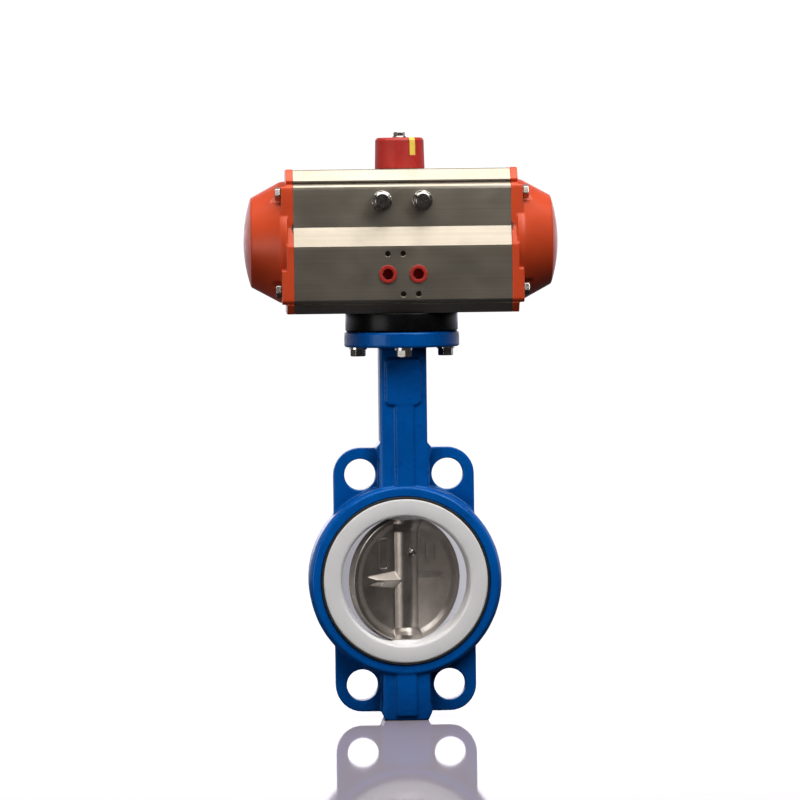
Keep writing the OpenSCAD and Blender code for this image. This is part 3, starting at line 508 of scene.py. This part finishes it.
materials = {
    "blue_paint": blue_paint(),
    "orange_red_paint": orange_red_paint(),
    "anodised_body": anodised_body(),
    "bright_screws": bright_screws(),
    "cast_stainless": cast_stainless(),
    "turned_stainless": turned_metal(
        "turned_stainless", base=(0.62, 0.60, 0.57), dark=(0.36, 0.34, 0.32),
        rough_range=(0.2, 0.32), density=TURNED_ABOUT_Y),
    "white_ptfe": white_ptfe(),
    "black_rubber": black_rubber(),
    "black_coat": black_coat(),
    "red_plastic": moulded(
        "red_plastic", base=(0.36, 0.012, 0.007), pale=(0.42, 0.018, 0.010),
        rough_range=(0.44, 0.54)),
    "yellow_plastic": moulded(
        "yellow_plastic", base=(0.78, 0.56, 0.07), pale=(0.84, 0.62, 0.10),
        rough_range=(0.32, 0.42), wear=(0.95, 0.85, 0.5)),
    "acetal": moulded(
        "acetal", base=(0.66, 0.63, 0.56), pale=(0.72, 0.69, 0.62),
        rough_range=(0.35, 0.48), wear=(0.8, 0.78, 0.72)),
    "bronze": turned_metal(
        "bronze", base=(0.55, 0.38, 0.16), dark=(0.34, 0.22, 0.09),
        rough_range=(0.25, 0.4)),
    "cast_aluminium": cast_aluminium(),
    "nickel_steel": turned_metal(
        "nickel_steel", base=(0.52, 0.51, 0.50), dark=(0.30, 0.29, 0.28),
        rough_range=(0.25, 0.38)),
    "spring_steel": turned_metal(
        "spring_steel", base=(0.14, 0.14, 0.15), dark=(0.07, 0.07, 0.075),
        rough_range=(0.3, 0.42)),
}

for subpart in frame["record"]["subparts"]:
    slots = nodes[subpart["node"]].data.materials
    material = materials[subpart["material_slot"]]
    if slots:
        for i in range(len(slots)):
            slots[i] = material
    else:
        slots.append(material)


# --------------------------------------------------------------------------
# rounding and casting texture, as modifiers on the CAD nodes
# --------------------------------------------------------------------------


def join_group():
    """Joins the split vertices and drops the stored normals, so that bevels work."""
    group = GeometryGroup("join_and_smooth")
    weld = group.node("GeometryNodeMergeByDistance", {0: group.geometry, "Distance": 2e-6})
    bare = group.node("GeometryNodeRemoveAttribute",
                      {0: weld.outputs[0], "Name": "custom_normal"})
    smooth = group.node("GeometryNodeSetShadeSmooth",
                        {0: bare.outputs[0], "Shade Smooth": True})
    return group.finish(smooth)


def shade_group(angle):
    """Smooth shading split at edges sharper than the angle, in degrees."""
    group = GeometryGroup("shade_by_angle")
    edge_angle = group.node("GeometryNodeInputMeshEdgeAngle").outputs[0]
    gentle = group.calc("LESS_THAN", edge_angle, math.radians(angle))
    edges = group.node("GeometryNodeSetShadeSmooth", {"Shade Smooth": gentle}, domain="EDGE")
    faces = group.node("GeometryNodeSetShadeSmooth", {0: group.geometry})
    group.link(faces.outputs[0], edges.inputs[0])
    return group.finish(edges)


def outer_edges_group(angle, radius, centre_z):
    """Marks the sharp edges outside the bore, so that only those are rounded."""
    group = GeometryGroup("outer_edges")
    position = group.separate(group.node("GeometryNodeInputPosition").outputs[0])
    above_axis = group.calc("SUBTRACT", position[2], centre_z)
    from_axis = group.distance(position[1], above_axis)
    outside = group.calc("GREATER_THAN", from_axis, radius)
    edge_angle = group.node("GeometryNodeInputMeshEdgeAngle").outputs[0]
    sharp = group.calc("GREATER_THAN", edge_angle, math.radians(angle))
    return group.finish(group.node("GeometryNodeStoreNamedAttribute", {
        "Geometry": group.geometry,
        "Name": "bevel_weight_edge",
        "Value": group.calc("MULTIPLY", outside, sharp),
    }, data_type="FLOAT", domain="EDGE"))


JOIN = join_group()
SHADE = shade_group(angle=32)
VOXEL_SCALE = 1.0


def modify(part, name, kind, **settings):
    modifier = nodes[part].modifiers.new(name, kind)
    for setting, value in settings.items():
        setattr(modifier, setting, value)


def round_edges(part, width_mm, angle=28, mark=None):
    """Rounds edges sharper than angle, or only those that the group mark weights."""
    modify(part, "join", "NODES", node_group=JOIN)
    if mark is not None:
        modify(part, "outer_edges", "NODES", node_group=mark)
    modify(part, "edge_radius", "BEVEL", width=width_mm * MM, segments=2,
           limit_method="ANGLE" if mark is None else "WEIGHT",
           angle_limit=math.radians(angle), use_clamp_overlap=True,
           harden_normals=False, miter_outer="MITER_ARC")
    modify(part, "shade", "NODES", node_group=SHADE)


def cast_skin(part, voxel_mm, smoothing, skin_mm, grain_mm):
    """Remeshes and softens a part, then roughens it where skin_mm is not zero."""
    modify(part, "skin", "REMESH", mode="VOXEL", voxel_size=voxel_mm * VOXEL_SCALE * MM,
           adaptivity=0.0, use_smooth_shade=True)
    modify(part, "cast_radius", "SMOOTH", factor=0.5, iterations=smoothing)
    if skin_mm:
        clouds = bpy.data.textures.new(part + "_cast", "CLOUDS")
        clouds.noise_scale = grain_mm * MM
        clouds.noise_depth = 2
        modify(part, "cast_skin", "DISPLACE", texture=clouds, texture_coords="LOCAL",
               mid_level=0.5, strength=skin_mm * MM)


# part, voxel (mm), smoothing steps, skin height (mm), skin grain size (mm)
CASTINGS = [
    ("valve_body", 0.75, 4, 0.16, 5.0),
    ("disc", 0.42, 3, 0.06, 1.8),
    ("left_end_cap", 0.6, 3, 0.03, 4.0),
    ("right_end_cap", 0.6, 3, 0.03, 4.0),
    ("indicator_cap", 0.42, 2, 0, 0),
]
FASTENERS = ["flange_bolts", "left_cap_bolts", "right_cap_bolts", "left_stop_bolt",
             "right_stop_bolt", "stop_lock_nuts", "indicator_screw"]

for casting in CASTINGS:
    cast_skin(*casting)
for fastener in FASTENERS:
    cast_skin(fastener, voxel_mm=0.26, smoothing=2, skin_mm=0, grain_mm=0)

round_edges("cylinder_body", width_mm=0.35, angle=BORE_EDGE_ANGLE, mark=outer_edges_group(
    BORE_EDGE_ANGLE, radius=BORE_RADIUS + BORE_MARGIN, centre_z=BORE_AXIS_Z))
round_edges("mounting_spacer", width_mm=0.4)
round_edges("ptfe_seat", width_mm=0.2, angle=30)
round_edges("port_plugs", width_mm=0.25)

# the guide bands run clear of the bore
for band in ("left_piston_band", "right_piston_band"):
    modify(band, "join", "NODES", node_group=JOIN)
    modify(band, "running_clearance", "DISPLACE", direction="NORMAL", mid_level=0.0,
           strength=-0.05 * MM)


# --------------------------------------------------------------------------
# floor
# --------------------------------------------------------------------------


def pale_sheet(mat, y):
    """The sheet the valve stands on, with a gloss that grows at low angles."""
    fresnel = mat.node("ShaderNodeFresnel", {"IOR": 1.5}).outputs[0]
    pale = mat.ramp(mat.noise(size_mm=60, detail=3, rough=0.5), [
        (0.3, (0.86, 0.80, 0.93)),
        (0.7, (0.90, 0.84, 0.97)),
    ])
    low_angle = mat.remap(fresnel, over=(0.24, 0.38))
    towards_camera = mat.remap(y, over=(-0.06, -0.55))
    colour = mat.mix(pale, mat.mix(FLOOR_LOW, FLOOR_FAR, towards_camera), low_angle)
    diffuse = mat.node("ShaderNodeBsdfDiffuse", {0: colour})
    rough = mat.remap(mat.noise(size_mm=40, detail=3, rough=0.5), to=(0.035, 0.05))
    glossy = mat.node("ShaderNodeBsdfGlossy", {"Color": (1, 1, 1), "Roughness": rough})
    gloss_level = mat.remap(towards_camera, over=(0.0, 1.0), to=(0.72, 0.62))
    gloss = mat.calc("MULTIPLY", fresnel, gloss_level)
    return mat.mix_shader(gloss, diffuse.outputs[0], glossy.outputs[0])


def bore_backdrop(mat):
    """The grey seen through the pipe bore.

    It shows on sight lines that pass close to the origin and run roughly along the pipe.
    Returns its shader, its mask, and how far each floor point lies on the viewer's side
    of the origin, measured along the sight line.
    """
    geometry = mat.geometry()
    position, incoming = geometry["Position"], geometry["Incoming"]
    along = mat.node("ShaderNodeVectorMath", {0: position, 1: incoming},
                     operation="DOT_PRODUCT").outputs["Value"]
    step = mat.node("ShaderNodeVectorMath", {0: incoming, "Scale": along}, operation="SCALE")
    nearest = mat.node("ShaderNodeVectorMath", {0: position, 1: step.outputs[0]},
                       operation="SUBTRACT").outputs[0]
    miss = mat.node("ShaderNodeVectorMath", {0: nearest}, operation="LENGTH")
    close = mat.remap(miss.outputs["Value"], over=(0.060, 0.063), to=(1.0, 0.0))
    slant = mat.calc("ABSOLUTE", mat.separate(incoming)[1])
    mask = mat.calc("MULTIPLY", close, mat.remap(slant, over=(0.82, 0.90)))
    # darker on the left, lighter on the right
    grey = mat.tint((0.345, 0.335, 0.375), (0.50, 0.49, 0.535),
                    by=mat.separate(nearest)[0], over=(-0.052, 0.052))
    return mat.node("ShaderNodeEmission", {0: grey}).outputs[0], mask, along


def pale_floor():
    mat = Material("pale_floor")
    camera_ray = mat.node("ShaderNodeLightPath").outputs["Is Camera Ray"]
    position = mat.xyz()
    sheet = pale_sheet(mat, position[1])
    grey, bore_mask, along = bore_backdrop(mat)
    seen = mat.mix_shader(bore_mask, sheet, grey)
    # the sheet runs out into the white backdrop on every side, sooner beyond the origin
    radius = mat.distance(position[0], position[1])
    beyond = mat.calc("MAXIMUM", mat.calc("MULTIPLY", along, -1.3), 0.0)
    run_out = mat.remap(mat.calc("ADD", radius, beyond), over=(0.62, 1.9), smooth=True)
    white = mat.node("ShaderNodeEmission", {0: (1, 1, 1), 1: BACKDROP_LEVEL}).outputs[0]
    white_mask = mat.calc("MULTIPLY", run_out, mat.calc("SUBTRACT", 1.0, bore_mask))
    seen = mat.mix_shader(white_mask, seen, white)
    # what other rays find: dark near the object, the lit backdrop far behind it
    glow = mat.ramp(mat.remap(position[1], over=(0.0, 4.0)), [
        (0.0, (0.030, 0.028, 0.028)),
        (0.22, (0.09, 0.085, 0.095)),
        (0.7, (0.52, 0.50, 0.60)),
    ])
    unseen = mat.node("ShaderNodeEmission", {0: glow}).outputs[0]
    mat.link(mat.mix_shader(camera_ray, unseen, seen), mat.output)
    return mat.material


def floor():
    mesh = bpy.data.meshes.new("floor")
    disc = bmesh.new()
    z = cad_lo[2] - FLOOR_GAP
    rim = []
    for i in range(FLOOR_SIDES):
        angle = 2 * math.pi * i / FLOOR_SIDES
        rim.append(disc.verts.new(
            (FLOOR_RADIUS * math.cos(angle), FLOOR_RADIUS * math.sin(angle), z)))
    disc.faces.new(rim)
    disc.to_mesh(mesh)
    disc.free()
    sheet = bpy.data.objects.new("floor", mesh)
    scene.collection.objects.link(sheet)
    mesh.materials.append(pale_floor())


floor()


# --------------------------------------------------------------------------
# world, lights, camera
# --------------------------------------------------------------------------


def world():
    """White to the camera; to other rays a backdrop that is brightest towards +Y."""
    studio = bpy.data.worlds.new("studio")
    scene.world = studio
    studio.use_nodes = True
    graph = Graph(studio.node_tree)
    graph.tree.nodes.clear()
    output = graph.node("ShaderNodeOutputWorld").inputs[0]
    white = graph.node("ShaderNodeBackground", {0: (1, 1, 1), 1: BACKDROP_LEVEL})
    direction = graph.separate(graph.node("ShaderNodeTexCoord").outputs["Generated"])
    colour = graph.ramp(graph.remap(direction[1], over=(-1.0, 1.0)), [
        (0.0, (0.036, 0.032, 0.028)),
        (0.45, (0.062, 0.058, 0.054)),
        (0.62, (0.17, 0.165, 0.17)),
        (0.80, (0.62, 0.60, 0.66)),
        (1.0, (0.95, 0.93, 1.02)),
    ])
    # the strip of backdrop just above the floor is the brightest part
    low = graph.remap(direction[2], over=(0.22, 0.10), smooth=True)
    behind = graph.remap(direction[1], over=(0.90, 0.98), smooth=True)
    strip = graph.calc("MULTIPLY", low, behind)
    level = graph.calc("MULTIPLY_ADD", strip, 1.6, 1.0)
    # and it fades overhead
    fade = graph.remap(direction[2], over=(0.25, 0.55), to=(1.0, 0.16), smooth=True)
    level = graph.calc("MULTIPLY", level, fade)
    lit = graph.node("ShaderNodeBackground", {0: colour, 1: level})
    camera_ray = graph.node("ShaderNodeLightPath").outputs["Is Camera Ray"]
    graph.link(graph.mix_shader(camera_ray, lit.outputs[0], white.outputs[0]), output)


def area_light(name, place, target, size, power, colour):
    """Rectangular light; size is (width, height) and power is in watts."""
    light = bpy.data.lights.new(name, "AREA")
    light.shape = "RECTANGLE"
    light.size, light.size_y = size
    light.energy = power
    light.color = colour
    light.spread = math.radians(180)
    lamp = bpy.data.objects.new(name, light)
    scene.collection.objects.link(lamp)
    lamp.location = place
    aim = Vector(target) - Vector(place)
    # a light aimed straight down keeps its sides along X and Y
    if aim.to_2d().length > 1e-6:
        lamp.rotation_euler = aim.to_track_quat("-Z", "Y").to_euler()


def camera():
    yaw, pitch, roll = -0.036896, -0.035700, -0.012100  # radians, from level along +Y

    lens = bpy.data.cameras.new("camera")
    body = bpy.data.objects.new("camera", lens)
    scene.collection.objects.link(body)
    scene.camera = body
    lens.type = "PERSP"
    lens.sensor_width = 36.0
    lens.lens = 217.23
    lens.shift_x = 0.012675
    lens.shift_y = -0.0263
    lens.clip_start = 0.1
    lens.clip_end = 60

    level_forward = Vector((-math.sin(yaw), math.cos(yaw), 0))
    level_right = Vector((math.cos(yaw), math.sin(yaw), 0))
    upright = Vector((0, 0, 1))
    forward = math.cos(pitch) * level_forward + math.sin(pitch) * upright
    pitched_up = -math.sin(pitch) * level_forward + math.cos(pitch) * upright
    right = math.cos(roll) * level_right + math.sin(roll) * pitched_up
    up = -math.sin(roll) * level_right + math.cos(roll) * pitched_up
    body.rotation_euler = Matrix((right, up, -forward)).transposed().to_euler()
    body.location = (-0.15206, -3.85250, 0.29779)


world()
area_light("overhead_softbox", place=(0.06, -0.405, 0.98), target=(0.06, -0.405, 0),
           size=(1.3, 1.0), power=17.0, colour=(1.0, 0.965, 0.925))
area_light("left_panel", place=(-1.02, -0.92, 0.15), target=(0, 0, 0.15),
           size=(0.72, 0.52), power=3.4, colour=(1.0, 0.96, 0.94))
area_light("right_panel", place=(0.70, -1.00, 0.95), target=(0, 0, 0.05),
           size=(0.55, 0.55), power=5.3, colour=(0.98, 0.98, 1.0))
camera()

scene.view_settings.view_transform = "Standard"
scene.view_settings.look = "None"
scene.view_settings.exposure = 0.0
scene.view_settings.gamma = 1.0
